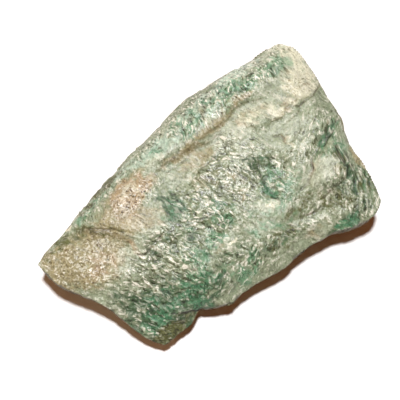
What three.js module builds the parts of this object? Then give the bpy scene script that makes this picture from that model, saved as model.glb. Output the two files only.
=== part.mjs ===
// Raw fuchsite: one broken lump of green mica schist, lying on its flattest side.
//
// Millimetres. +X runs along the stone, +Y points to its long smooth flank, +Z is up.
// The origin is below the middle of the bounding box, on the surface that the stone lies on.
//
// The solid is one box of small cells, bent to the shape of the stone. Four rim curves give
// the edge of the top face. The top is a patch stretched between them, raised by a crown and
// cut by the ledges, grooves and lumps of the broken layers. The walls run down and inward
// from the rim as a stack of thin plates, to a chamfer. The underside is the flat foot, with
// two places where a flake has come away.

import * as THREE from 'three';
import { ImprovedNoise } from 'three/addons/math/ImprovedNoise.js';
import { mergeVertices } from 'three/addons/utils/BufferGeometryUtils.js';

// Size of the stone and of its cells
const LENGTH = 76;
const WIDTH = 42;
const CELLS_ALONG = 52;
const CELLS_ACROSS = 32;
const PLATES = 5;
const CELLS_UP = 2 * PLATES - 1;

// Edge of the top face, corner to corner, as [x, y, z]
const FAR_RIM = [
  [-38, 12.3, 12.6], [-34.5, 13.9, 12], [-29.9, 14.8, 11.5], [-25, 16.3, 11.5],
  [-20.6, 17.4, 11.5], [-15.5, 18.8, 11.5], [-10.6, 19.8, 11.5], [-3.5, 21, 11.5],
  [1.5, 21.8, 11.5], [5.9, 22.7, 11.5], [10.9, 23.4, 11.5], [16.8, 23, 11.8],
  [23.7, 22.3, 12], [28, 21.8, 12], [32.5, 21.7, 12], [35.9, 20.9, 12.5],
];
const NEAR_RIM = [
  [-25.9, -18.4, 6.4], [-21.4, -18.3, 6.6], [-19.1, -18.3, 7], [-16.2, -17.3, 7.6],
  [-14.3, -16.9, 8], [-11.2, -18.3, 8.4], [-8.4, -19.7, 9], [-4.2, -19.9, 9.6],
  [0.5, -20.2, 10], [4.8, -20.9, 10.3], [9.2, -20.4, 10.6], [14.4, -20.5, 11.3],
  [18.8, -21, 11.8], [24.1, -22.9, 12.5], [28.7, -23.5, 13.3], [32, -21.8, 14],
];
const LEFT_RIM = [
  [-25.9, -18.4, 6.4], [-27.8, -15.4, 7.6], [-29.3, -11.6, 9], [-30, -8.4, 10.1],
  [-31.2, -4.7, 11.3], [-33, -1.2, 11.9], [-35.2, 2.5, 12.4], [-37.3, 6.5, 12.7],
  [-37.8, 9.5, 12.6], [-38, 12.3, 12.6],
];
const RIGHT_RIM = [
  [32, -21.8, 14], [33.2, -17.9, 14], [34, -13.5, 13.8], [34.2, -9, 13.5],
  [35, -5, 13.5], [36.6, -1, 13.5], [36.9, 3.8, 13.4], [37.7, 9.7, 13],
  [38, 14.6, 12.8], [37.8, 18, 12.6], [35.9, 20.9, 12.5],
];

// Crown: how high the middle stands over the rim, and how far from each side it gets there
const CROWN_HEIGHT = 5.2;
const CROWN_RUN = { far: 2.6, near: 8, left: 9, right: 4 };

// Ledges: the ground to the left of each line, going along it, stands higher by the drop.
// The step is as steep as its width, and its two levels meet the ground over the reach.
const LEDGES = [
  { // foot of the long raised band on the far side
    drop: 2, width: 0.6, reach: 7,
    line: [[-7, 14.4], [-3, 13.9], [0.3, 13.3], [3.6, 13.4], [6.2, 12.7], [8.8, 12.2], [12.5, 12.7]],
  },
  { // crest that carries the band on to the right
    drop: 1.3, width: 0.7, reach: 5,
    line: [[8, 13.3], [11, 13.8], [13.4, 13.4], [15.3, 13.6], [17.3, 14.4], [20, 14.3],
      [22.3, 13.3], [25, 12.6], [31, 12.8]],
  },
  { // second, shorter layer edge below it
    drop: 0.9, width: 0.45, reach: 5,
    line: [[16, 10.4], [18, 9], [20, 7.5], [22.2, 6.8], [25.2, 6.6], [26.6, 7.5], [28.7, 7.2],
      [30, 6.1], [31.3, 6.5], [34, 6.2], [35.5, 7], [37.5, 7.8]],
  },
  { // edge of the low terrace at the pointed left corner
    drop: 1.7, width: 0.8, reach: 6,
    line: [[-29, 14], [-26, 12.6], [-24.2, 11.4], [-22.2, 9.9], [-20.7, 8.2], [-19, 6.3],
      [-17.8, 3.6], [-18.4, -2]],
  },
  { // front of the round lump near the right corner
    drop: 1, width: 0.7, reach: 4,
    line: [[20, -11.6], [22.6, -12.2], [26.1, -12.8], [28.7, -13.1], [30.4, -12],
      [30.9, -9.7], [31, -6.5]],
  },
  { // lip over the lower layer that shows in the notch of the near rim
    drop: 1.8, width: 0.4, reach: 3,
    line: [[-22, -14.8], [-20.2, -15.6], [-18.1, -16.2], [-14.1, -16.2], [-11.8, -17.6],
      [-8, -20.3]],
  },
  { // layers that step down to the right end
    drop: 0.9, width: 0.6, reach: 3,
    line: [[30.5, -19], [31.2, -13], [33, -4], [33.8, 3], [34.6, 9], [34.2, 17]],
  },
];

// Grooves: cracks between the layers
const GROOVES = [
  { depth: 0.7, width: 0.9, line: [[11.6, 11.5], [5.9, 9.7], [0.8, 7.8], [-2, 6.4]] },
  { depth: 0.8, width: 0.9, line: [[-19.5, -0.6], [-16, 0.7], [-13.8, 0.7], [-11, 0]] },
  {
    depth: 1.3, width: 0.8,
    line: [[36.5, -0.6], [33, -2], [31, -2.8], [29, -3.6], [27, -4.3], [25, -5], [24, -6.1],
      [22.5, -8], [21, -9.1], [18, -9.6]],
  },
  { depth: 0.8, width: 0.9, line: [[25.9, -16.4], [19.2, -15.6], [14, -13.7], [10, -13.8]] },
  { depth: 0.8, width: 1, line: [[16, 3.5], [14.6, 1.2], [14, -2], [13.4, -5.5], [13.6, -9]] },
  { depth: 0.7, width: 0.9, line: [[20.2, 4.6], [21.6, 3.9], [22.7, 2.8], [22.8, 0.2]] },
];

// Round lumps, and hollows where the height is less than zero
const LUMPS = [
  { at: [26.6, -8.3], radius: 4.2, height: 1.4 },
  { at: [17, -2.2], radius: 2.8, height: -1.2 },
  { at: [-22.5, -8.5], radius: 5, height: -0.9 },
  { at: [8.2, -13.2], radius: 4.5, height: 0.6 },
  { at: [-9, -9], radius: 5, height: 0.7 },
  { at: [-1.5, 0.5], radius: 5.5, height: 0.7 },
  { at: [-30, 5], radius: 4, height: 0.7 },
  { at: [24, 17.5], radius: 4.5, height: 0.6 },
];

// Unevenness of the top. Each noise has its wave length and height, and a level of its own
const SWELL = { wave: 7.5, height: 0.55, level: 0.5 };
const RIPPLE = { wave: 3.4, height: 0.34, level: 7.5 };

// Walls: how far each leans in on its way down, and the least that it leans in for each
// millimetre down, so that no plate stands out over the rim
const LEAN = { far: 2, near: 3.2, left: 3, right: 2.2 };
const LEAN_CURVE = 1.25;
const LEAST_SLOPE = { far: 0, near: 0.16, left: 0.14, right: 0 };
const SIDE_SHARPNESS = 6;
const SPINE_LEFT = -22;
const SPINE_RIGHT = 20;

// Plates of the walls: the height of the joint between two as a share of the wall, how far
// each plate steps in and out, how it bends up and down, and the broader lumps of the wall
const PLATE_JOINT = 0.08;
const PLATE_STEP = { wave: 11, height: 2, level: 3.4 };
const PLATE_LEVEL_RISE = 1.7;
const PLATE_BEND = { wave: 12, height: 0.1, level: 5.1 };
const WALL_LUMP = { wave: 15, height: 2.2, level: 9.3 };
// Height above which the rim holds the plates back from stepping in and out
const RIM_GRIP = 0.4;

// Underside: height of its edge above the ground, and width of the chamfer inside that edge
const EDGE_HEIGHT = { far: 2.6, near: 2, left: 2.8, right: 2.8 };
const CHAMFER_WIDTH = { far: 4.5, near: 3.5, left: 7, right: 5 };
const CHAMFER_UNEVENNESS = { wave: 6, height: 0.6, level: 2.5 };

// Flakes lost from the underside: to the left of each line, going along it, the ground is higher
const LOST_FLAKES = [
  { rise: 1.2, width: 1, line: [[38, -1], [25, -6], [17, -11], [11, -14], [8, -26]] },
  { rise: 0.8, width: 1, line: [[-20, -26], [-15, -9], [-18, -1], [-12, 8], [-14, 26]] },
];

// Share of a line's length over which its ledge or groove fades out, at each end
const LINE_FADE = 0.16;

const perlin = new ImprovedNoise();
const { clamp, lerp, smoothstep } = THREE.MathUtils;

function unevenness(x, y, { wave, height, level }) {
  return height * perlin.noise(x / wave, y / wave, level);
}

function curveThrough(points) {
  return new THREE.CatmullRomCurve3(points.map((p) => new THREE.Vector3(...p)));
}

const farCurve = curveThrough(FAR_RIM);
const nearCurve = curveThrough(NEAR_RIM);
const leftCurve = curveThrough(LEFT_RIM);
const rightCurve = curveThrough(RIGHT_RIM);

// Point of the rim, where s runs from the left end to the right one and t from near to far
function rimPoint(s, t) {
  if (t === 0) return nearCurve.getPointAt(s);
  if (t === 1) return farCurve.getPointAt(s);
  return s === 0 ? leftCurve.getPointAt(t) : rightCurve.getPointAt(t);
}

// Patch stretched between the four sides of an edge
function patch(edge, s, t) {
  const point = new THREE.Vector3();
  point.addScaledVector(edge(s, 0), 1 - t);
  point.addScaledVector(edge(s, 1), t);
  point.addScaledVector(edge(0, t), 1 - s);
  point.addScaledVector(edge(1, t), s);
  point.addScaledVector(edge(0, 0), -(1 - s) * (1 - t));
  point.addScaledVector(edge(1, 0), -s * (1 - t));
  point.addScaledVector(edge(0, 1), -(1 - s) * t);
  point.addScaledVector(edge(1, 1), -s * t);
  return point;
}

// Distances to the four sides, in millimetres
function sideDistances(s, t) {
  return { far: (1 - t) * WIDTH, near: t * WIDTH, left: s * LENGTH, right: (1 - s) * LENGTH };
}

// Where a point lies beside a line: its distance, positive on the left, and a weight that
// fades out at the two ends of the line
function besideLine(x, y, line) {
  let best = { distance: Infinity, side: 1, along: 0 };
  const pieces = line.length - 1;
  for (let i = 0; i < pieces; i += 1) {
    const [ax, ay] = line[i];
    const [bx, by] = line[i + 1];
    const dx = bx - ax;
    const dy = by - ay;
    const share = ((x - ax) * dx + (y - ay) * dy) / (dx * dx + dy * dy);
    const inside = clamp(share, 0, 1);
    const distance = Math.hypot(x - ax - dx * inside, y - ay - dy * inside);
    if (distance < best.distance) {
      const side = dx * (y - ay) - dy * (x - ax) < 0 ? -1 : 1;
      best = { distance, side, along: (i + inside) / pieces };
    }
  }
  const fromEnd = Math.min(best.along, 1 - best.along);
  return { signed: best.side * best.distance, weight: smoothstep(fromEnd, 0, LINE_FADE) };
}

function ledgeHeight(x, y, { drop, width, reach, line }) {
  const { signed, weight } = besideLine(x, y, line);
  const step = (drop / 2) * Math.tanh(signed / width);
  return step * weight * Math.exp(-Math.abs(signed) / reach);
}

function grooveHeight(x, y, { depth, width, line }) {
  const { signed, weight } = besideLine(x, y, line);
  return -depth * weight * Math.exp(-((signed / width) ** 2));
}

function lumpHeight(x, y, { at, radius, height }) {
  const distance = Math.hypot(x - at[0], y - at[1]);
  return height * Math.exp(-((distance / radius) ** 2));
}

function crownHeight(s, t) {
  const distance = sideDistances(s, t);
  let share = 1;
  for (const side of Object.keys(CROWN_RUN)) {
    share *= 1 - Math.exp(-distance[side] / CROWN_RUN[side]);
  }
  return CROWN_HEIGHT * share;
}

function topPoint(s, t) {
  const point = patch(rimPoint, s, t);
  const { x, y } = point;
  let height = crownHeight(s, t);
  for (const ledge of LEDGES) height += ledgeHeight(x, y, ledge);
  for (const groove of GROOVES) height += grooveHeight(x, y, groove);
  for (const lump of LUMPS) height += lumpHeight(x, y, lump);
  point.z += height + unevenness(x, y, SWELL) + unevenness(x, y, RIPPLE);
  return point;
}

// Value of a setting at a place: each side has its own, and they are mixed at the corners
function mixedSides(setting, s, t) {
  const weights = {
    far: t ** SIDE_SHARPNESS,
    near: (1 - t) ** SIDE_SHARPNESS,
    left: (1 - s) ** SIDE_SHARPNESS,
    right: s ** SIDE_SHARPNESS,
  };
  let sum = 0;
  let total = 0;
  for (const side of Object.keys(weights)) {
    sum += weights[side] * setting[side];
    total += weights[side];
  }
  return sum / total;
}

// Height of a row of cells, 0 to 1: every second cell is a plate, and the others are joints
function rowHeight(row) {
  const plate = Math.ceil(row / 2) / PLATES;
  if (row === 0 || row === CELLS_UP) return plate;
  return plate + (row % 2 === 0 ? PLATE_JOINT / 2 : -PLATE_JOINT / 2);
}

// Point of the wall in a row of cells, from 0 at its lower edge to CELLS_UP at the rim
function wallPoint(s, t, row) {
  const top = topPoint(s, t);
  const height = rowHeight(row);
  const plateLevel = PLATE_STEP.level + PLATE_LEVEL_RISE * Math.floor(row / 2);
  const step = unevenness(top.x, top.y, { ...PLATE_STEP, level: plateLevel });
  const lump = unevenness(top.x, top.y, { ...WALL_LUMP, level: WALL_LUMP.level + height });
  const loose = 1 - smoothstep(height, RIM_GRIP, 1);
  const bend = unevenness(top.x, top.y, PLATE_BEND) * Math.sin(Math.PI * height);
  const z = lerp(mixedSides(EDGE_HEIGHT, s, t), top.z, height + bend);
  const lean = mixedSides(LEAN, s, t) * (1 - height) ** LEAN_CURVE;
  const least = mixedSides(LEAST_SLOPE, s, t) * (top.z - z);
  const inset = Math.max(lean + (step + lump) * loose, least);
  const spineX = clamp(top.x, SPINE_LEFT, SPINE_RIGHT);
  const inward = new THREE.Vector3(spineX - top.x, -top.y, 0).normalize();
  const point = top.clone().addScaledVector(inward, inset);
  point.z = z;
  return point;
}

// Height that lost flakes leave over a place on the underside
function flakeHeight(x, y) {
  let height = 0;
  for (const { rise, width, line } of LOST_FLAKES) {
    const { signed } = besideLine(x, y, line);
    height = Math.max(height, rise * smoothstep(signed, -width, width));
  }
  return height;
}

function bottomPoint(s, t) {
  const point = patch((u, v) => wallPoint(u, v, 0), s, t);
  const distance = sideDistances(s, t);
  let share = 0;
  for (const side of Object.keys(CHAMFER_WIDTH)) {
    share = Math.max(share, 1 - distance[side] / CHAMFER_WIDTH[side]);
  }
  const onChamfer = share > 0 && share < 1;
  if (onChamfer) share += unevenness(point.x, point.y, CHAMFER_UNEVENNESS);
  const chamfer = mixedSides(EDGE_HEIGHT, s, t) * clamp(share, 0, 1);
  point.z = Math.max(chamfer, flakeHeight(point.x, point.y));
  return point;
}

function stonePoint(s, t, row) {
  if (row === CELLS_UP) return topPoint(s, t);
  if (row === 0) return bottomPoint(s, t);
  return wallPoint(s, t, row);
}

function stoneGeometry() {
  const box = new THREE.BoxGeometry(1, 1, 1, CELLS_ALONG, CELLS_ACROSS, CELLS_UP);
  const place = box.getAttribute('position');
  for (let i = 0; i < place.count; i += 1) {
    const s = Math.round((place.getX(i) + 0.5) * CELLS_ALONG) / CELLS_ALONG;
    const t = Math.round((place.getY(i) + 0.5) * CELLS_ACROSS) / CELLS_ACROSS;
    const row = Math.round((place.getZ(i) + 0.5) * CELLS_UP);
    const point = stonePoint(s, t, row);
    place.setXYZ(i, point.x, point.y, point.z);
  }
  box.deleteAttribute('normal');
  box.deleteAttribute('uv');
  const stone = mergeVertices(box);
  stone.computeBoundingBox();
  const { min, max } = stone.boundingBox;
  stone.translate(-(min.x + max.x) / 2, -(min.y + max.y) / 2, -min.z);
  stone.computeVertexNormals();
  return stone;
}

// Mica schist: soft grey-green, with the satin gloss of fine mica
const micaSchist = new THREE.MeshStandardMaterial({
  color: 0xa3ad90,
  roughness: 0.5,
  metalness: 0,
  flatShading: true,
});

const stone = new THREE.Mesh(stoneGeometry(), micaSchist);
stone.name = 'raw_fuchsite';

const rawFuchsite = new THREE.Group();
rawFuchsite.add(stone);

export default rawFuchsite;
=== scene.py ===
import math

import bmesh
import bpy
import numpy as np
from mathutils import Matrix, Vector, noise
from mathutils.kdtree import KDTree


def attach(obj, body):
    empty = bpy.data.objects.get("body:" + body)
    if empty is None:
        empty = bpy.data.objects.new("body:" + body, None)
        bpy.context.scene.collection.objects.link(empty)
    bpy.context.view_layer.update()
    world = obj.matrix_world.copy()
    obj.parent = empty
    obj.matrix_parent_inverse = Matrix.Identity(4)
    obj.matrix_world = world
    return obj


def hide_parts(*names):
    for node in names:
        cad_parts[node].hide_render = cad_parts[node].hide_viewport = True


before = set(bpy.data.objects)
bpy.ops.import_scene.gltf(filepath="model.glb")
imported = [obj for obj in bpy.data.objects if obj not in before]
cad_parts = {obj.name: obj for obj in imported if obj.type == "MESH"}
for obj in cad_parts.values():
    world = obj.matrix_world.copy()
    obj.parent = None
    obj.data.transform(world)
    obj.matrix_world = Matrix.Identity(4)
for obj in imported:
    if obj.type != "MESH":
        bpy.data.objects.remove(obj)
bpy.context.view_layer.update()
MM = 0.001


# The stone
# One loose piece of fuchsite, a schist of green chromium mica, as it broke out of the rock. Its top is a
# wavy cleavage face that glitters, its walls are broken across the layers, and it lies on a flat cleavage.

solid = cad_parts["raw_fuchsite"]
WELD = 0.001 * MM
UP_FACING = 0.1
TOP, WALL, FOOT = 1, 2, 3

bm = bmesh.new()
bm.from_mesh(solid.data)
bmesh.ops.remove_doubles(bm, verts=bm.verts, dist=WELD)
bmesh.ops.join_triangles(
    bm, faces=bm.faces, cmp_seam=False, cmp_sharp=False, cmp_uvs=False, cmp_vcols=False, cmp_materials=False,
    angle_face_threshold=math.pi, angle_shape_threshold=math.pi, topology_influence=2.0,
)

# The top is found by spreading out from the highest face over those that point up, and the foot from the
# lowest one over those that point down. What is left is wall.
bm.normal_update()
side = bm.faces.layers.int.new("side")
for face in bm.faces:
    face[side] = WALL
for mark, sign in ((TOP, 1), (FOOT, -1)):
    start = max(bm.faces, key=lambda face: sign * face.calc_center_median().z + face.normal.z * sign * MM)
    start[side] = mark
    spreading = [start]
    while spreading:
        for edge in spreading.pop().edges:
            for face in edge.link_faces:
                if face[side] == WALL and face.normal.z * sign > UP_FACING:
                    face[side] = mark
                    spreading.append(face)


def sides_of(part):
    """The marks of the faces that meet at an edge or a vertex."""
    return {face[side] for face in part.link_faces}


def soften(vertices, passes, factor):
    """Moves vertices towards the middle of their neighbours, which rounds off the facets."""
    for _ in range(passes):
        bmesh.ops.smooth_vert(
            bm, verts=vertices, factor=factor, use_axis_x=True, use_axis_y=True, use_axis_z=True
        )


# Each facet is first cut in two each way and rounded off, with the rim and the edge of the foot left where
# they are. The walls are then cut in two once more, and the top, which is seen from near, in three, to a
# fifth of a millimetre, and all of it is softened together.
bmesh.ops.subdivide_edges(bm, edges=bm.edges, cuts=1, use_grid_fill=True)
soften([v for v in bm.verts if len(sides_of(v)) == 1], passes=2, factor=0.5)
wall_edges = [edge for edge in bm.edges if WALL in sides_of(edge) and TOP not in sides_of(edge)]
bmesh.ops.subdivide_edges(bm, edges=wall_edges, cuts=1, use_grid_fill=True)
top_edges = [edge for edge in bm.edges if TOP in sides_of(edge)]
bmesh.ops.subdivide_edges(bm, edges=top_edges, cuts=2, use_grid_fill=True)
soften(bm.verts, passes=3, factor=0.5)

# The last softening pulls a rim vertex that has a wall edge further down than those beside it, so the rim
# is evened out along itself. It is a sharp edge, as on any broken stone.
EVENING_PASSES = 4
rim = [v for v in bm.verts if {TOP, WALL} <= sides_of(v)]
for _ in range(EVENING_PASSES):
    evened = []
    for v in rim:
        beside = [edge.other_vert(v).co for edge in v.link_edges if sides_of(edge) == {TOP, WALL}]
        evened.append(v.co.lerp(sum(beside, Vector()) / len(beside), 0.5))
    for v, spot in zip(rim, evened):
        v.co = spot
for edge in bm.edges:
    edge.smooth = sides_of(edge) != {TOP, WALL}
bm.normal_update()
rim_tree = KDTree(len(rim))
for number, v in enumerate(rim):
    rim_tree.insert(v.co / MM, number)
rim_tree.balance()

stone = bpy.data.objects.new("raw_fuchsite_stone", bpy.data.meshes.new("raw_fuchsite_stone"))
bpy.context.scene.collection.objects.link(stone)
bm.to_mesh(stone.data)
bm.free()
for face in stone.data.polygons:
    face.use_smooth = True

# From here on the stone is worked on as arrays, in millimetres: where each vertex is, which way it faces
# and how far it is from the rim.
place = np.zeros(len(stone.data.vertices) * 3)
stone.data.vertices.foreach_get("co", place)
place = place.reshape(-1, 3) / MM
facing = np.array([vertex.normal for vertex in stone.data.vertices])
from_rim = np.array([rim_tree.find(point)[2] for point in place])


def ramp(value, low, high):
    """0 below low, 1 above high and a smooth rise between them; high may be the lower one."""
    part = np.clip((value - low) / (high - low), 0, 1)
    return part * part * (3 - 2 * part)


# The seed that ends each call for noise below is any number that no other call has: another one would give
# another stone of the same kind.
SECOND_WAY = 31.7
ROUGHENING, FINER_BY, LAYERS = 0.7, 2.0, 4


def wobble(points, size, seed):
    """Smooth noise from -1 to 1, with lumps about size mm across."""
    return np.array([noise.noise(Vector(point)) for point in points / size + seed])


def swirl(points, size, seed):
    """Smooth noise as a direction level with the ground, for moving places about."""
    level = np.zeros(len(points))
    return np.stack([wobble(points, size, seed), wobble(points, size, seed + SECOND_WAY), level], axis=1)


def layered_noise(points, size, seed):
    """Noise from about -1 to 1 in lumps about size mm across, with finer layers of it on them."""
    return np.array([
        noise.fractal(Vector(point), ROUGHENING, FINER_BY, LAYERS) for point in points / size + seed
    ])


def turned(points, degrees, stretch):
    """Points in a frame turned by degrees about Z, so that what is made there is stretched along it."""
    turn = np.radians(degrees)
    along = points[:, 0] * np.cos(turn) + points[:, 1] * np.sin(turn)
    across = points[:, 1] * np.cos(turn) - points[:, 0] * np.sin(turn)
    return np.stack([along / stretch, across, points[:, 2]], axis=1)


# An oval is full out to the first share of its half length and width, and gone past the second.
OVAL_FULL = 0.4
OVAL_GONE = 1.5


def patches(points, rows):
    """How far points lie in soft ovals; a row is x, y, half length and half width in mm, turn, amount."""
    outside = np.ones(len(points))
    for x, y, half_length, half_width, degrees, amount in rows:
        local = turned(points - (x, y, 0), degrees, 1)
        reach = np.hypot(local[:, 0] / half_length, local[:, 1] / half_width)
        outside *= 1 - amount * ramp(reach, OVAL_GONE, OVAL_FULL)
    return 1 - outside


def to_line(points, line):
    """Distance in mm from points to a line of x, y places, and on which side of it they are (left is 1)."""
    nearest = np.full(len(points), np.inf)
    left = np.ones(len(points))
    for (x0, y0), (x1, y1) in zip(line, line[1:]):
        run = np.array([x1 - x0, y1 - y0])
        offset = points[:, :2] - (x0, y0)
        part = np.clip(offset @ run / (run @ run), 0, 1)
        away = np.hypot(*(offset - part[:, None] * run).T)
        closer = away < nearest
        nearest = np.where(closer, away, nearest)
        turn = run[0] * offset[:, 1] - run[1] * offset[:, 0]
        left = np.where(closer, np.sign(turn), left)
    return nearest, left


# Everything drawn on the top below is placed in mm from the middle of the stone, X along its long side and
# Y towards its long far rim. The places are wandered a little, so that no edge is a clean curve. A row of
# the wandering is how far in mm, the size of its lumps and a seed.
WANDERING = [(0.8, 5.0, 11.0), (0.7, 1.6, 17.0)]
LINE_WANDER = 0.35
FOLD_WANDER = 0.5
wander = sum(reach * swirl(place, size, seed) for reach, size, seed in WANDERING)
drawn = place + wander
near_drawn = place + LINE_WANDER * wander

# How much each place belongs to the top, to the foot and to the walls. The top reaches a little way over
# the rim.
OVER_RIM = 0.7
up = np.maximum(ramp(facing[:, 2], 0.05, 0.4), ramp(from_rim, OVER_RIM, 0.5 * OVER_RIM))
down = ramp(-facing[:, 2], 0.3, 0.8)
aside = 1 - up - down

# The mica lies in small folds. Their crests run in a few directions over the face: upright in the band
# along the far rim, leaning left over the middle and the near left, leaning right by the blunt end and the
# near rim, and steeper at the corner between those two.
UPRIGHT = 87
LEANING_LEFT = -60
LEANING_RIGHT = 38
STEEP_RIGHT = 68
LEFT_WEIGHT = 0.25
FLOWS = {
    UPRIGHT: [
        (18, 19, 22, 4.5, 0, 1), (-18, 16, 10, 2.5, 12, 1), (-12, 13, 6, 3, 0, 0.8),
    ],
    LEANING_RIGHT: [
        (29, 0, 9, 5.5, 15, 1), (-3, -17, 12, 4, 0, 1), (19, -11, 7, 5, 0, 0.8), (30, -5, 6, 3, 30, 1),
    ],
    STEEP_RIGHT: [
        (30, -17, 5, 8, 0, 1), (33, -10, 3, 6, 0, 1),
    ],
}
flow = {degrees: patches(drawn, rows) for degrees, rows in FLOWS.items()}
flow[LEANING_LEFT] = np.full(len(place), LEFT_WEIGHT)
flow_sum = sum(flow.values())

# The face is a patchwork of sheets with smaller scales on them. On each sheet the folds run a little askew
# of the rest, and start from a place of their own. The chance numbers of a sheet are the far digits of a
# sine taken at its middle.
SHEET_SIZE = 4.2
SCALE_SIZE = 1.3
SHEET_LEAN = 0.9
TURN_SPREAD = 16
SHEET_SHIFT = 40
CHANCE_WAY = (12.99, 78.23, 37.72)
CHANCE_DIGITS = 4375.85
LEAN_CHANCE_WAY = (26.65, 9.14, 61.3)
LEAN_WAY = (0.7, 0.7, 0)


def sheets(points, size, seed):
    """Parts points into flakes about size mm across. For each point it gives the middle of its flake, a
    chance number from 0 to 1, how high the tilted flake is there, and the gap to the next flake in mm."""
    found = [noise.voronoi(Vector(point)) for point in points / size + seed]
    middle = (np.array([centres[0] for _, centres in found]) - seed) * size
    gap = np.array([distances[1] - distances[0] for distances, _ in found]) * size
    chance = np.modf(np.abs(np.sin(middle @ CHANCE_WAY) * CHANCE_DIGITS))[0]
    lean = (np.sin(middle @ LEAN_CHANCE_WAY)[:, None] * (points - middle)) @ LEAN_WAY / size
    return middle, chance, chance + SHEET_LEAN * lean, gap


middle, chance, sheet_height, sheet_gap = sheets(drawn, SHEET_SIZE, 91.0)
_, _, scale_height, _ = sheets(near_drawn, SCALE_SIZE, 97.0)
middle_flow = [
    patches(middle, FLOWS[degrees]) if degrees in FLOWS else np.full(len(place), LEFT_WEIGHT)
    for degrees in flow
]
fold_turn = np.array(list(flow))[np.argmax(middle_flow, axis=0)] + TURN_SPREAD * (2 * chance - 1)
laid = turned(place + FOLD_WANDER * wander, fold_turn, 1) + chance[:, None] * SHEET_SHIFT

# Coarse crests come and go along the folds, finer ones take over between them, and wide swells carry both.
FOLD_SPACING = 1.8
FOLD_STRETCH = 3.2
CREST_SIZE = 0.65
CREST_EDGE = 0.38
KEPT_SIZE = 1.4
KEPT_STRETCH = 1.6


def threads(spacing, seed):
    """Short crests along the folds, about spacing mm apart: 1 along the top of a crest and 0 between them."""
    return ramp(wobble(laid / (FOLD_STRETCH, 1, 1), CREST_SIZE * spacing, seed), 0.0, CREST_EDGE)


def creases(size, half_width, wandering, seed):
    """Thin creases that wind round lumps about size mm across: 1 along a crease and 0 beside it."""
    lumps = wobble(place + wandering * wander, size, seed)
    return 1 - np.clip(np.abs(lumps) / half_width, 0, 1)


kept_crest = ramp(wobble(laid / (KEPT_STRETCH, 1, 1), KEPT_SIZE, 47.0), -0.35, 0.25)
coarse_threads = threads(FOLD_SPACING, 31.0) * (0.4 + 0.6 * kept_crest)
fine_threads = threads(0.5 * FOLD_SPACING, 41.0) * (1 - 0.4 * kept_crest)
swells = wobble(laid / (FOLD_STRETCH, 1, 1), 1.1 * FOLD_SPACING, 43.0)
folds = np.maximum(coarse_threads, 0.85 * fine_threads)
fine_crinkles = creases(0.75, 0.2, 0.3, 50.0)
crinkles = np.maximum(0.6 * creases(1.3, 0.17, 0.4, 49.0), fine_crinkles)

# Where the mica is worn or covered by quartz and feldspar grains the face is smoother. The feldspar is
# crinkled instead of folded, and the folds are strongest where the mica lies bare.
SMOOTH = [
    (-28.5, 12.8, 3.6, 1.8, 0, 1), (4, 9.8, 6, 2, 5, 0.8), (4, 12.8, 7, 1.4, -3, 0.9),
    (20, 11, 7, 3, -20, 0.8), (26, 12, 5, 3, 0, 0.9), (33, 10, 5, 4, 0, 0.6), (36, 17, 2.5, 4, 80, 0.9),
    (9, -11.5, 7, 2.6, -10, 0.9), (24, -8.5, 4.5, 3, 0, 0.8), (24, 4, 9, 3, 0, 0.5),
    (-11, 4.5, 3, 2, 0, 0.7), (-2.7, -9, 2.2, 0.9, 25, 1), (-22, 3.5, 4.5, 3, 0, 0.6),
    (-13, -17.2, 5, 0.9, -20, 1), (9, -18, 3, 1.6, 0, 0.6), (16.5, -18.5, 3, 1.6, 0, 0.6),
    (33.6, -11.5, 0.9, 4, 0, 1), (0, 16, 5, 1.5, 0, 0.5), (15, 14, 8, 1.4, 0, 0.9),
    (-24.5, -17.2, 4, 1.2, 0, 0.3),
]
GRAINY = [
    (-29, 6, 9, 6.5, 0, 1), (-13, 11.5, 8, 4, 0, 1), (33, 10, 5, 4, 0, 1), (-34, 10, 4, 4, 0, 1),
]
FOLDED = [
    (-12, -3, 11, 4.5, 0, 1), (2, 0, 13, 6, 0, 0.9), (7, 6, 8, 4, 20, 0.9), (18, 18.3, 19, 4.6, 0, 1),
    (-24, -16, 6, 3.5, 0, 0.9), (29, -16, 5, 8, 0, 0.6), (-20, -10, 9, 5.5, -10, 0.8),
    (0, -14, 12, 4, 0, 0.35), (15, 0, 4, 8, 0, 0.8), (-12, 12, 6, 3.5, 0, 0.6),
    (-18, 16, 8, 2, 12, 0.3), (29, -1, 8, 4, 20, 0.4), (12, -15.5, 7, 2.5, 0, 0.3),
]
LEAST_FOLDED = 0.3
smooth = patches(drawn, SMOOTH)
grainy = patches(drawn, GRAINY)
micaceous = LEAST_FOLDED + (1 - LEAST_FOLDED) * patches(drawn, FOLDED)
micaceous *= (1 - 0.7 * smooth) * (1 - 0.3 * grainy)

# The relief of the top, in mm: folds and swells, tilted sheets and scales, grains, and lumps. A row of the
# lumps is their height, their size and a seed.
FOLD_HEIGHT = 0.2
FOLD_LEVEL = 0.3
SWELL_HEIGHT = 0.22
GRAIN_HEIGHT = 0.12
SHEET_HEIGHT = 0.18
SHEET_EDGE = 0.4
SCALE_HEIGHT = 0.09
LUMPS = [(0.25, 4.5, 61.0), (0.14, 2.1, 63.0)]
fine = wobble(place, 0.55, 53.0)
grains = wobble(place, 0.9, 59.0)
calm = 1 - 0.5 * smooth
crests = folds + grainy * (crinkles - folds)
crests = np.maximum(crests, fine_crinkles * (1 - micaceous))
top_relief = micaceous * (FOLD_HEIGHT * (crests - FOLD_LEVEL) + SWELL_HEIGHT * swells)
top_relief += SHEET_HEIGHT * (sheet_height - 0.5) * ramp(sheet_gap, 0, SHEET_EDGE) * calm
top_relief += SCALE_HEIGHT * (scale_height - 0.5) * micaceous
top_relief += GRAIN_HEIGHT * (0.5 * fine + (0.4 + 0.8 * grainy) * grains) * calm
for height, size, seed in LUMPS:
    top_relief += height * wobble(place, size, seed)

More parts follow.
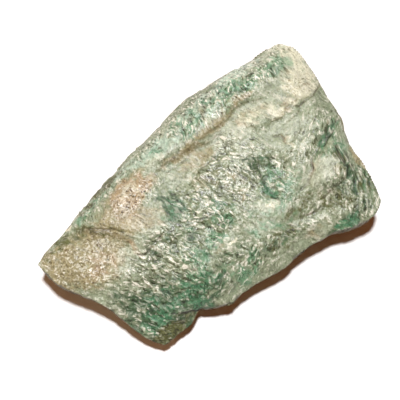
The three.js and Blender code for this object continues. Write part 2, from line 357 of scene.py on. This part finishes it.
# Cracks, each with its share of the full depth and its half width, and ledges where one mica sheet ends
# over the next, each with its height and the width of its shade. The left side of a ledge's line stands
# higher, or lower where the height is below 0, and the shade lies on the right.
LIP = [(-18.5, -15.2), (-16.9, -15.8), (-14.8, -16.5), (-12.6, -17.3), (-9.6, -18.8), (-8.6, -19.3)]
CRACKS = [
    (0.6, 0.3, [(-3, 11.6), (0, 11.3), (3, 11.5), (4.5, 12), (6, 12)]),
    (0.7, 0.3, [(10, 11.7), (11, 11.7), (13, 11.3)]),
    (0.8, 0.3, [(-26, 12.9), (-24.3, 11.5), (-22.2, 10.1), (-20.8, 8.5)]),
    (0.9, 0.35, [(-19, 0.5), (-18, -0.1), (-17, -0.3), (-15, 0.3), (-12, 0.8)]),
    (0.9, 0.28, [(27, 7.4), (29, 7), (30, 6), (31, 6.3), (34, 6.3), (35.5, 7), (37, 7.8)]),
    (1, 0.5, [(19, -9.3), (21, -9), (22.5, -8), (24, -6), (25, -4.9)]),
    (0.5, 0.4, [(25, -4.9), (27, -4.3), (29, -3.6), (31, -2.8), (33, -2), (35.5, -1)]),
    (0.9, 0.4, [(29, -4.4), (31, -3.4), (33, -2.6)]),
    (0.8, 0.35, [(21, 4), (22.5, 3), (22.5, 1)]),
    (0.8, 0.4, [(16.5, -14.5), (19, -15), (20.5, -14.8)]),
    (0.8, 0.35, [(16, -1), (17.5, -1.7)]),
    (0.5, 0.35, [(13.5, -8), (13, -4), (14, 0), (15.5, 2)]),
    (1, 0.4, LIP),
    (0.6, 0.3, [(0, 6.6), (2.5, 7.5), (7, 7.9), (8, 8.5), (10, 10), (12, 11.5)]),
    (0.8, 0.4, [(31, -6), (30.3, -8), (30, -9), (30.3, -11.5), (29, -12.6)]),
]
LEDGES = [
    (-0.15, 1.4, [(-4, 13.8), (-1, 13.5), (2, 13.4), (4, 13.4), (6, 13), (8.5, 12.3)]),
    (0.05, 0.9, [(10, 13.6), (13, 13.7), (15, 13.5), (17, 14.3), (20, 14.3), (22, 13.3), (24, 12.5)]),
    (0.05, 0.35, [(18, 9), (20, 7.5), (22, 6.9), (25, 6.7)]),
    (-0.15, 0.4, [(26, 7.4), (29, 7), (30, 6), (31, 6.3), (34, 6.3), (35.5, 7), (37, 7.8)]),
    (0.2, 0.4, [(25, 4.8), (27, 4.9), (29, 5.3), (30, 6)]),
    (-0.35, 0.55, [(-26, 12.6), (-24.3, 11.2), (-22.2, 9.8), (-20.8, 8.2), (-19, 6.3), (-17.7, 4.9)]),
    (0.25, 0.7, [(22, -13.3), (27, -13), (29, -12.6), (30.3, -11.5), (30, -9), (31, -6)]),
    (0.4, 0.6, LIP),
]
CRACK_DEPTH = 0.3
LEDGE_RUN = 1.4
LEDGE_FACE = 0.4
broken = 0.5 + 0.5 * ramp(wobble(place, 2.5, 83.0), -0.3, 0.3)
crack_shade = np.zeros(len(place))
for depth, width, line in CRACKS:
    away, _ = to_line(near_drawn, line)
    crack_shade = np.maximum(crack_shade, depth * broken * ramp(away, width, 0.1 * width))
top_relief -= CRACK_DEPTH * crack_shade
ledge_shade = np.zeros(len(place))
for height, shade_width, line in LEDGES:
    away, left = to_line(near_drawn, line)
    rise = np.clip(away * left / LEDGE_FACE, -1, 1)
    top_relief += height * rise * np.exp(-away / LEDGE_RUN)
    ledge_shade = np.maximum(ledge_shade, (left < 0) * ramp(away, shade_width, 0.3 * shade_width))

# The broken walls show the edges of the sheets as uneven layers that break back in blocks. A layer changes
# about a sixth as fast along the wall as across it.
LAYER = 0.9
LAYER_HEIGHT = 0.36
ALONG_LAYER = 0.16
THIN_LAYER = 0.4
THIN_LAYER_HEIGHT = 0.16
CHIP_HEIGHT = 0.2
WALL_GRAIN_HEIGHT = 0.07
BLOCK_SIZE = 3.4
BLOCK_FLATNESS = 2.2
BLOCK_HEIGHT = 0.75
MOST_OUT = 0.25
layered = place * (ALONG_LAYER, ALONG_LAYER, 1.0) + 0.12 * wander
layers = np.abs(wobble(layered, LAYER, 67.0)) * 2
thin_layers = np.abs(wobble(layered, THIN_LAYER, 71.0)) * 2
_, _, block_height, block_gap = sheets(place * (1, 1, BLOCK_FLATNESS) + 0.8 * wander, BLOCK_SIZE, 75.0)
wall_relief = LAYER_HEIGHT * (layers - 0.5) + THIN_LAYER_HEIGHT * (thin_layers - 0.5)
wall_relief += CHIP_HEIGHT * wobble(place, 2.2, 73.0) + WALL_GRAIN_HEIGHT * fine
wall_relief += BLOCK_HEIGHT * (block_height - 0.6) * ramp(block_gap, 0, 0.35)
wall_relief = np.minimum(wall_relief, MOST_OUT) * ramp(from_rim, 0.1, 1.8)

# The rim has small nicks, and close to it the relief of the top fades.
NICK_DEPTH = 1.6
NICK_REACH = 0.9
MOST_NICKED = 0.5
RIM_RELIEF = 0.2
RIM_CALM = 1.0
nicks = np.clip(wobble(place, 1.8, 77.0) + 0.4 * wobble(place, 0.9, 78.0), 0, MOST_NICKED)
rim_chips = -NICK_DEPTH * ramp(from_rim, NICK_REACH, 0) * nicks
top_relief *= RIM_RELIEF + (1 - RIM_RELIEF) * ramp(from_rim, 0, RIM_CALM)

# The foot is worn flat where it touches the ground, so its relief only rises from there.
FOOT_FOLD_SIZE = 2.2
FOOT_FOLD_HEIGHT = 0.22
FOOT_GRAIN_HEIGHT = 0.06
foot_folds = np.abs(wobble(turned(place, 25, 3), FOOT_FOLD_SIZE, 79.0)) * 2
foot_relief = -FOOT_FOLD_HEIGHT * np.clip(foot_folds - 0.15, 0, 1) - FOOT_GRAIN_HEIGHT * np.abs(fine)

relief = up * top_relief + aside * wall_relief + down * foot_relief + rim_chips
moved = place + relief[:, None] * facing

# The lower layer that shows in the notch of the near rim stands out a little, as a strip below the lip.
STRIP = [(-10.8, -18.9, 3.4, 1.4, -22, 1), (-17.6, -18, 1.7, 1.1, 30, 0.7)]
STRIP_OUT = 0.75
STRIP_WAY = (-0.3, -0.95)
moved[:, :2] += STRIP_OUT * patches(place, STRIP)[:, None] * STRIP_WAY
moved[:, 2] = np.maximum(moved[:, 2], 0)
stone.data.vertices.foreach_set("co", (moved * MM).ravel())
stone.data.update()

# Colours by place. Fine mica is grey-green where it has little chromium and emerald where it has more;
# iron stains it olive, and between the mica lie beige and peach feldspar and cream quartz. Each tint has
# how much the streaks along the folds break it up, and then its places.
TINTS = {
    "pale": (0.7, [
        (26, 12, 6, 3.2, 0, 0.25), (-1, 16.8, 6, 2.6, 0, 1), (24, 3, 8, 4, 0, 0.4),
        (24.5, -8.5, 4.5, 3, 0, 0.9), (35, 16, 4, 6, 0, 0.9), (-12, 5, 6, 3, 0, 0.45),
        (9, 11, 6, 3, 0, 0.5), (18, 20.5, 18, 1.3, 0, 0.6), (13, 17, 3, 2.5, 0, 0.5),
        (6, 2.5, 6, 5, 0, 0.25), (14, 9, 5, 3, 0, 0.7), (-4, -2.5, 3, 3, 0, 0.2),
        (10.5, -7.5, 3, 1.8, 0, 0.8), (9, -11, 6.5, 2.3, 0, 0.2), (16.5, -18.3, 3.5, 1.8, 0, 0.5),
        (30, 18, 5, 3, 0, 0.5), (-22, 1.5, 7, 3, 0, 0.6), (-13, -17.6, 5, 0.9, -20, 0.6),
        (18, 18, 18, 3.6, 0, 0.6),
    ]),
    "beige": (0.5, [
        (-29, 7, 10.5, 6, 0, 1), (-35, 10, 4, 3.6, 0, 0.8), (-17, 9, 6, 5, 0, 0.8),
        (4, 9.8, 6, 2, 0, 0.7), (2, 13, 6.5, 1.3, 0, 0.8), (12, 14, 5, 1.6, 0, 0.7),
        (20, 15.3, 5, 1.1, 0, 0.9), (-11, 4.5, 3.5, 2.5, 0, 0.5), (33, 9.5, 5, 3.6, 0, 0.5),
        (16.5, -18.5, 3.5, 1.6, 0, 0.5), (-26, 1, 6, 3, 0, 0.4), (33.6, -11.5, 1, 4, 0, 0.8),
        (8, 21.5, 14, 0.9, 2, 0.2), (-10, 15.5, 6, 1.6, 8, 0.5), (3, 5, 4, 3, 0, 0.45),
        (28.5, -11, 2, 2, 0, 0.4),
    ]),
    "peach": (0.7, [
        (-12, 13, 6, 3, 0, 0.9), (20.5, 10.5, 7.5, 2.8, -15, 0.3), (28, 7.5, 4, 1.6, 0, 0.4),
        (23, 1, 1, 3.5, 10, 0.35), (27, -10.8, 2.5, 1.8, 0, 0.3), (-2.9, -9, 2.2, 0.8, 25, 0.4),
        (-18.8, 3, 0.8, 3, 0, 0.5), (-27, 4, 5, 3, 0, 0.5), (23.4, -6.6, 0.7, 2.8, -40, 0.4),
        (7.5, -0.5, 3, 4, -30, 0.35), (10, -12, 3, 1.5, 0, 0.25), (-15, 9, 4, 3, 0, 0.4),
    ]),
    "cream": (0.7, [
        (36, 17, 2.4, 4.5, 0, 0.8), (34, 10.5, 5, 4, 0, 0.75), (12, -7.5, 1.5, 1.4, 0, 0.9),
        (-27.7, 15.3, 0.9, 0.5, 0, 1), (21, 10.5, 8, 2.6, -15, 0.5), (-3, 17.5, 4, 1.6, 0, 0.3),
        (16, 21.2, 10, 1.3, 1, 0.2), (28, 20.8, 6, 1.3, -3, 0.25), (28, 7.8, 4, 1, 0, 0.4),
        (-12, 13, 3, 2, 0, 0.4), (12, 17.6, 1.8, 1.8, 0, 0.4), (21.5, 19.8, 3, 0.7, 0, 0.6),
        (-0.3, -9.4, 1.1, 0.5, -10, 1), (23.3, -6.6, 0.5, 2.4, -40, 0.5), (22.9, 0, 0.5, 1.8, 10, 0.6),
    ]),
    "light_teal": (0.8, [
        (-1, 17.2, 6, 2, 0, 0.75), (-20, 16.4, 9, 1.6, 14, 0.4), (-9, 18, 5, 1.5, 8, 0.5),
        (10, 19.8, 8, 1.3, 4, 0.4), (22, 21, 9, 1.3, 0, 0.6), (18, 18, 14, 3, 0, 0.4),
    ]),
    # Deep green is partly the mica's own darker green and partly painted shade on the slopes by the near rim
    # and the near left corner, which turn away from the lamp.
    "deep_green": (1.0, [
        (-21.5, -11.5, 8, 5.5, -10, 1), (-6.5, 4.5, 2.8, 3, 0, 0.85), (-7.5, 8, 1.2, 1.8, 0, 0.4),
        (12.5, 2.5, 2.4, 3, 0, 0.35), (15.5, 0.5, 2.4, 2.4, 0, 0.5), (14, -4.5, 2.5, 4.5, 0, 0.5),
        (-28.5, -6, 3.5, 4, 0, 0.5), (27, -15, 4.5, 2, 10, 0.5), (31, -16.5, 3.5, 7, 0, 0.45),
        (30.7, -9, 1.4, 3, 0, 0.55), (-12, -15, 6, 3.5, 20, 0.6), (-2, -15, 9, 5, 0, 0.3),
        (33, -1, 3.5, 1.5, 30, 0.15), (24, -20.5, 5, 1.6, 0, 0.7), (-18.5, -15.5, 3, 2.5, 30, 0.9),
        (-10, -10, 7, 3.5, 20, 0.3), (12, -15.5, 7, 2, 0, 0.35), (-24, -17, 6, 2, 0, 1),
        (29, -4, 6.5, 1, 24, 0.5), (-12, -2, 9, 4, 0, 0.38),
    ]),
    "emerald": (1.2, [
        (7, 17.6, 3.5, 3.5, 0, 0.62), (16.5, 17.6, 3.2, 2.8, 0, 0.6), (21.5, 18.2, 3.2, 2, 0, 0.8),
        (28, 17, 6, 2, 0, 0.5), (32, 17, 3, 2, 0, 0.5), (-21, -11, 4.4, 3.6, 20, 0.5),
        (-24.5, -14, 4.5, 2.4, -15, 0.6), (-21, 15.5, 7, 1.4, 12, 0.5), (-2.5, 16.8, 3, 1.2, 0, 0.5),
        (-5, -3, 7, 5, 0, 0.15), (15.5, -5.5, 4.5, 4, 0, 0.62), (-10.5, -9, 3, 4, 20, 0.65),
        (-4, -7, 4.5, 2.4, 30, 0.6), (2, -3.2, 3, 3, 0, 0.5), (-1, -17, 4.5, 2, 30, 0.55),
        (23, -21, 3.4, 1.4, 0, 0.7), (31, -3.5, 5, 2.4, 28, 0.4), (32, 0, 4, 5, 0, 0.15),
        (31.5, -7, 2.4, 1.6, 0, 0.55), (-14, -13, 3, 3.5, 30, 0.6), (4, 0, 30, 18, 0, 0.1),
        (31, -16, 3, 7, 0, 0.3), (10, -12, 8, 5, 0, 0.3), (-6, 4, 4, 4, 0, 0.3),
        (18, 17.5, 18, 3.5, 0, 0.22), (-8, -14, 9, 5, 0, 0.25),
    ]),
    "olive": (1.3, [
        (-24, -17.2, 5, 2.4, 0, 1), (-28.5, 13, 4.4, 2, 0, 0.6), (23.5, -15.5, 3.5, 2.6, -40, 0.65),
        (11, -15.5, 6, 1.8, 0, 0.4), (-34, 12.5, 3.5, 1.5, 0, 0.3), (30, -9, 1.3, 3, 0, 0.5),
        (17, -12, 5, 1.6, 0, 0.4), (-14, -17.4, 5.5, 1.1, -15, 0.5), (-22, 9.2, 1, 5, 48, 0.5),
        (31, -18, 3, 5, 0, 0.3), (0, -2, 34, 20, 0, 0.1), (-17, 17.5, 8, 0.9, 12, 0.7),
    ]),
}
STREAK_SIZE = 1.2
STREAK_STRETCH = 2.2
LEAST_STREAKED = 0.25
TINT_LOW = 0.2
TINT_HIGH = 0.8
TINT_SHARE = {"emerald": 0.6, "beige": 0.8}
WALL_SHARE = {"pale": 0.4, "beige": 0.5, "deep_green": 0.5, "emerald": 0.25, "olive": 0.7}
SHEEN_LOST = {"deep_green": 0.7, "emerald": 0.1, "olive": 0.3}
WALL_SHEEN = 0.22
RIM_SHADE_WIDTH = 0.8
GRAINY_STRETCH = 1.2


def keep(name, values):
    """Stores one number per vertex for the material to read."""
    layer = stone.data.attributes.new(name, "FLOAT", "POINT")
    layer.data.foreach_set("value", np.clip(values, 0, 1).astype(np.float32))


stretch = FOLD_STRETCH + grainy * (GRAINY_STRETCH - FOLD_STRETCH)
unstretched = np.ones(len(place))
layer = stone.data.attributes.new("folded_place", "FLOAT_VECTOR", "POINT")
layer.data.foreach_set("vector", (laid / np.stack([stretch, unstretched, unstretched], axis=1)).ravel())

# The sheen sets both how much painted highlight a place gets and how glossy it is.
sheen = (0.5 + 0.5 * np.maximum(micaceous, 0.8 * grainy)) * (1 - 0.15 * smooth)
for number, (tint, (breaking, rows)) in enumerate(TINTS.items()):
    streaks = np.zeros(len(place))
    for degrees, weight in flow.items():
        share = weight / flow_sum
        here = share > 0.02
        in_flow = turned(drawn[here], degrees, STREAK_STRETCH)
        streaks[here] += share[here] * layered_noise(in_flow, STREAK_SIZE, 101.0 + 7 * number)
    placed = patches(drawn, rows)
    streaked = LEAST_STREAKED + placed * (1 - LEAST_STREAKED)
    mask = ramp(placed + breaking * streaks * streaked, TINT_LOW, TINT_HIGH)
    sheen *= 1 - SHEEN_LOST.get(tint, 0) * mask
    in_layers = ramp(layered_noise(layered, 2 * LAYER, 151.0 + 7 * number), 0.1, 0.5)
    keep(tint, TINT_SHARE.get(tint, 1) * mask * up + WALL_SHARE.get(tint, 0) * in_layers * (1 - up))

crest = (0.8 * crests + 0.3 * ramp(swells, -0.1, 0.4)) * up
crest += ramp(layers, 0.1, 0.8) * aside + ramp(foot_folds, 0.1, 0.8) * down
strokes_shown = 0.45 + 0.55 * ramp(micaceous, 0.2, 0.6) + 0.1 * grainy
keep("crest", crest)
# The crack, ledge and rim masks carry painted shade.
keep("crack", crack_shade * up)
keep("ledge", ledge_shade * up)
keep("rim", ramp(from_rim, RIM_SHADE_WIDTH, 0) * ramp(layered_noise(place, 1.5, 163.0), -0.5, 0.3))
keep("rust", grainy * up * ramp(layered_noise(place, 1.6, 167.0), -0.3, 0.3))
keep("wall", aside + down)
keep("micaceous", micaceous * up + 0.5 * (1 - up))
keep("inside_sheet", ramp(sheet_gap, 0.15, 0.4) * strokes_shown)
keep("sheen", sheen * up + WALL_SHEEN * (1 - up))


def linear(code):
    """A linear colour from an sRGB hex value."""
    values = [int(code[i:i + 2], 16) / 255 for i in (0, 2, 4)]
    return [v / 12.92 if v <= 0.04045 else ((v + 0.055) / 1.055) ** 2.4 for v in values] + [1.0]


def add_node(tree, kind, feeds, take=0, **settings):
    """Adds a node with its settings, feeds its inputs with values or other outputs, and gives one output."""
    new = tree.nodes.new(kind)
    for name, value in settings.items():
        setattr(new, name, value)
    for name, value in feeds.items():
        if isinstance(value, bpy.types.NodeSocket):
            tree.links.new(value, new.inputs[name])
        else:
            new.inputs[name].default_value = value
    return new.outputs[take] if new.outputs else None


# Fuchsite mica, cleaved: pearly sheets that flash where a flake faces the light, and dull grains between.
mica = bpy.data.materials.new("cleaved_fuchsite_mica")
mica.use_nodes = True
nodes = mica.node_tree
nodes.nodes.clear()
where = add_node(nodes, "ShaderNodeTexCoord", {}, "Object")
kept = {
    layer.name: add_node(nodes, "ShaderNodeAttribute", {}, "Fac", attribute_name=layer.name)
    for layer in stone.data.attributes if layer.data_type == "FLOAT"
}
folded_place = add_node(nodes, "ShaderNodeAttribute", {}, "Vector", attribute_name="folded_place")

# Flakes and grains: each cell of a pattern is one of them, with a tone of its own. Real flakes go down to a
# few hundredths of a millimetre. The grains and flecks are drawn much coarser than that, so that they show.
FLAKE = 0.75
GRAIN = 0.34
FLECK = 0.5
cells = {
    name: add_node(nodes, "ShaderNodeTexVoronoi", {"Vector": where, "Scale": 1 / (size * MM)}, "Color")
    for name, size in {"flake": FLAKE, "grain": GRAIN}.items()
}
flake_tone = add_node(nodes, "ShaderNodeSeparateColor", {"Color": cells["flake"]}, "Red")
grain_tone = add_node(nodes, "ShaderNodeSeparateColor", {"Color": cells["grain"]}, "Red")
grain_gleam = add_node(nodes, "ShaderNodeSeparateColor", {"Color": cells["grain"]}, "Green")
fleck = add_node(nodes, "ShaderNodeTexNoise", {
    "Vector": where, "Scale": 1 / (FLECK * MM), "Detail": 3.0, "Roughness": 0.7,
}, "Fac")

# Strokes: fine lines along the folds, where the edges of the mica sheets come out. Each has a bright side
# that faces the light, which feeds the painted highlight, and a dark side, which is painted shade. They fade
# out where one sheet meets the next.
STROKE_SPACING = 0.54
BRIGHT_SIDE = (0.56, 0.61)
DARK_SIDE = (0.45, 0.39)
strokes = add_node(nodes, "ShaderNodeTexNoise", {
    "Vector": folded_place, "Scale": 1 / STROKE_SPACING, "Detail": 2.5, "Roughness": 0.55, "Distortion": 0.4,
}, "Fac")
bright_side, dark_side = [
    add_node(nodes, "ShaderNodeMapRange", {
        "Value": strokes, "From Min": least, "From Max": most, "To Max": kept["inside_sheet"],
    }) for least, most in (BRIGHT_SIDE, DARK_SIDE)
]

GROUND = "7f8b71"
TINT_COLOURS = {
    "pale": "9aa38d", "beige": "8d8360", "peach": "9b8b6d", "cream": "c5c6ae", "light_teal": "a3b8a6",
    "deep_green": "345030", "emerald": "3b7c58", "olive": "4f552b",
}
colour = linear(GROUND)
for tint, code in TINT_COLOURS.items():
    colour = add_node(nodes, "ShaderNodeMix", {
        0: kept[tint], 6: colour, 7: linear(code),
    }, 2, data_type="RGBA")

# Tone: painted shade darkens the valleys between the folds and the layers and the dark side of a stroke, and
# the crests are painted a little lighter. Every flake and grain is a little different as well.
VALLEY_SHADE = -0.38
CREST_LIGHT = 0.05
TONE = 0.84
LEAST_TONE = 0.25
fold_shade = add_node(nodes, "ShaderNodeMapRange", {
    "Value": kept["crest"], "From Min": 0.0, "From Max": 0.5, "To Min": VALLEY_SHADE, "To Max": CREST_LIGHT,
}, interpolation_type="SMOOTHSTEP")
tone = add_node(nodes, "ShaderNodeMath", {
    0: fold_shade, 1: kept["micaceous"], 2: TONE,
}, operation="MULTIPLY_ADD")
for part, share in ((grain_tone, 0.44), (flake_tone, 0.22), (dark_side, -0.5)):
    tone = add_node(nodes, "ShaderNodeMath", {0: part, 1: share, 2: tone}, operation="MULTIPLY_ADD")
tone = add_node(nodes, "ShaderNodeMath", {0: tone, 1: LEAST_TONE}, operation="MAXIMUM")
colour = add_node(nodes, "ShaderNodeMix", {
    0: 1.0, 6: colour, 7: tone,
}, 2, data_type="RGBA", blend_type="MULTIPLY")

# Sheen: painted highlight. The mica is painted as reflecting more the more a flake lies open to the light,
# above all on the crests and the bright side of a stroke: a silver glint colour is mixed over its colour
# there.
GLINT_COLOUR = "ecebdc"
DULLNESS = -0.97
GLEAM_POWER = 1.4
gleam = DULLNESS
for part, share in ((kept["crest"], 1.0), (bright_side, 1.1), (fleck, 0.6), (grain_gleam, 0.5)):
    gleam = add_node(nodes, "ShaderNodeMath", {0: part, 1: share, 2: gleam}, operation="MULTIPLY_ADD")
gleam.node.use_clamp = True
gleam = add_node(nodes, "ShaderNodeMath", {0: gleam, 1: GLEAM_POWER}, operation="POWER")
painted_glint = add_node(nodes, "ShaderNodeMath", {0: gleam, 1: kept["sheen"]}, operation="MULTIPLY", use_clamp=True)
colour = add_node(nodes, "ShaderNodeMix", {0: painted_glint, 6: colour, 7: linear(GLINT_COLOUR)}, 2, data_type="RGBA")

# Painted shade and stains that lie over the mica: painted shade in the cracks, on the faces of the ledges,
# along the rim where the top curves away from the light, and on the dark side of the strokes; rust between
# the feldspar crinkles, where the strokes are dark; and the brown weathering of the walls and the foot.
kept["dark_side"] = dark_side
kept["rust"] = add_node(nodes, "ShaderNodeMath", {0: kept["rust"], 1: dark_side}, operation="MULTIPLY")
STAINS = (
    ("crack", "6e5238", 0.85), ("ledge", "a3966f", 0.55), ("rim", "9a8a68", 0.4), ("rust", "c58450", 0.6),
    ("wall", "c8a583", 0.75), ("dark_side", "a19c66", 0.6),
)
for name, code, share in STAINS:
    part = add_node(nodes, "ShaderNodeMath", {0: kept[name], 1: share}, operation="MULTIPLY")
    colour = add_node(nodes, "ShaderNodeMix", {
        0: part, 6: colour, 7: linear(code),
    }, 2, data_type="RGBA", blend_type="MULTIPLY")

# Every grain leans its own way, so some catch the light, and the strokes and flecks stand up a little. Mica
# is half as rough as the dull stone around it.
GRAIN_TILT = 0.35
STROKE_RISE = 0.5
BUMP_STRENGTH = 0.7
BUMP_HEIGHT = 0.12 * MM
DULL_ROUGHNESS = 0.68
SHEEN_ROUGHNESS = -0.36
tilt = add_node(nodes, "ShaderNodeVectorMath", {0: cells["grain"], 1: (0.5, 0.5, 0.5)}, operation="SUBTRACT")
tilt = add_node(nodes, "ShaderNodeVectorMath", {0: tilt, "Scale": GRAIN_TILT}, operation="SCALE")
height = add_node(nodes, "ShaderNodeMath", {
    0: bright_side, 1: STROKE_RISE, 2: fleck,
}, operation="MULTIPLY_ADD")
bump = add_node(nodes, "ShaderNodeBump", {
    "Strength": BUMP_STRENGTH, "Distance": BUMP_HEIGHT, "Height": height,
})
leaning = add_node(nodes, "ShaderNodeVectorMath", {0: bump, 1: tilt}, operation="ADD")
leaning = add_node(nodes, "ShaderNodeVectorMath", {0: leaning}, operation="NORMALIZE")
roughness = add_node(nodes, "ShaderNodeMath", {
    0: kept["sheen"], 1: SHEEN_ROUGHNESS, 2: DULL_ROUGHNESS,
}, operation="MULTIPLY_ADD")
surface = add_node(nodes, "ShaderNodeBsdfPrincipled", {
    "Base Color": colour, "Roughness": roughness, "IOR": 1.58, "Specular IOR Level": 0.6, "Normal": leaning,
})
add_node(nodes, "ShaderNodeOutputMaterial", {"Surface": surface})
stone.data.materials.append(mica)

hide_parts("raw_fuchsite")
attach(stone, "root")


# The floor
# A plain matt white table top, wide enough that its edge stays out of low views.

FLOOR_SIDE = 1.4
floor_mesh = bmesh.new()
bmesh.ops.create_grid(floor_mesh, x_segments=1, y_segments=1, size=FLOOR_SIDE / 2)
floor = bpy.data.objects.new("floor", bpy.data.meshes.new("floor"))
bpy.context.scene.collection.objects.link(floor)
floor_mesh.to_mesh(floor.data)
floor_mesh.free()
white = bpy.data.materials.new("matt_white_table_top")
white.use_nodes = True
white.node_tree.nodes["Principled BSDF"].inputs["Base Color"].default_value = linear("f2f2f2")
white.node_tree.nodes["Principled BSDF"].inputs["Roughness"].default_value = 0.9
floor.data.materials.append(white)


# The camera
# It looks down on the stone from ten degrees off the vertical, with the long side running up to the right.

AIM = Vector((-0.335, 2.677, 13.0)) * MM
DISTANCE = 420 * MM
AZIMUTH = math.radians(-36.5)
ELEVATION = math.radians(80)
LENS = 168.8
SENSOR_WIDTH = 36
NEAREST_SEEN = 10 * MM
towards_camera = Vector((
    math.sin(AZIMUTH) * math.cos(ELEVATION), -math.cos(AZIMUTH) * math.cos(ELEVATION), math.sin(ELEVATION),
))
camera = bpy.data.objects.new("camera", bpy.data.cameras.new("camera"))
camera.data.lens = LENS
camera.data.sensor_width = SENSOR_WIDTH
camera.data.clip_start = NEAREST_SEEN
camera.location = AIM + towards_camera * DISTANCE
camera.rotation_euler = (math.pi / 2 - ELEVATION, 0, AZIMUTH)
bpy.context.scene.collection.objects.link(camera)
bpy.context.scene.camera = camera


# The light
# One round lamp, small and far off, stands just above the camera's line, so the shadow lies below the
# near edges. A dim warm room fills the shadow, and the ground beyond the floor is white.

LAMP_DISTANCE = 2.5
LAMP_SIZE = 0.2
LAMP_POWER = 78
LAMP_ABOVE_CAMERA = math.radians(17)
camera_up = camera.rotation_euler.to_matrix() @ Vector((0, 1, 0))
towards_lamp = towards_camera * math.cos(LAMP_ABOVE_CAMERA) + camera_up * math.sin(LAMP_ABOVE_CAMERA)
lamp = bpy.data.objects.new("lamp", bpy.data.lights.new("lamp", "AREA"))
lamp.data.shape = "DISK"
lamp.data.size = LAMP_SIZE
lamp.data.energy = LAMP_POWER
lamp.location = AIM + towards_lamp * LAMP_DISTANCE
lamp.rotation_euler = towards_lamp.to_track_quat("Z", "Y").to_euler()
bpy.context.scene.collection.objects.link(lamp)

# A weak warm lamp low on the left lightens the shadow on that side.
SIDE_DISTANCE = 1.5
SIDE_POWER = 3.6
SIDE_SIZE = 0.5
SIDE_HEIGHT = math.radians(25)
camera_left = camera.rotation_euler.to_matrix() @ Vector((-1, 0, 0))
towards_side = camera_left * math.cos(SIDE_HEIGHT) + Vector((0, 0, 1)) * math.sin(SIDE_HEIGHT)
side_lamp = bpy.data.objects.new("side_lamp", bpy.data.lights.new("side_lamp", "AREA"))
side_lamp.data.shape = "DISK"
side_lamp.data.size = SIDE_SIZE
side_lamp.data.energy = SIDE_POWER
side_lamp.data.color = linear("ffdcb4")[:3]
side_lamp.location = AIM + towards_side * SIDE_DISTANCE
side_lamp.rotation_euler = towards_side.to_track_quat("Z", "Y").to_euler()
bpy.context.scene.collection.objects.link(side_lamp)

world = bpy.data.worlds.new("room")
world.use_nodes = True
room = world.node_tree
room.nodes.clear()
seen = add_node(room, "ShaderNodeLightPath", {}, "Is Camera Ray")
fill = add_node(room, "ShaderNodeBackground", {"Color": linear("64320f"), "Strength": 1.0})
backdrop = add_node(room, "ShaderNodeBackground", {"Color": linear("ffffff"), "Strength": 1.0})
shown = add_node(room, "ShaderNodeMixShader", {0: seen, 1: fill, 2: backdrop})
add_node(room, "ShaderNodeOutputWorld", {"Surface": shown})
bpy.context.scene.world = world
bpy.context.scene.view_settings.view_transform = "Standard"
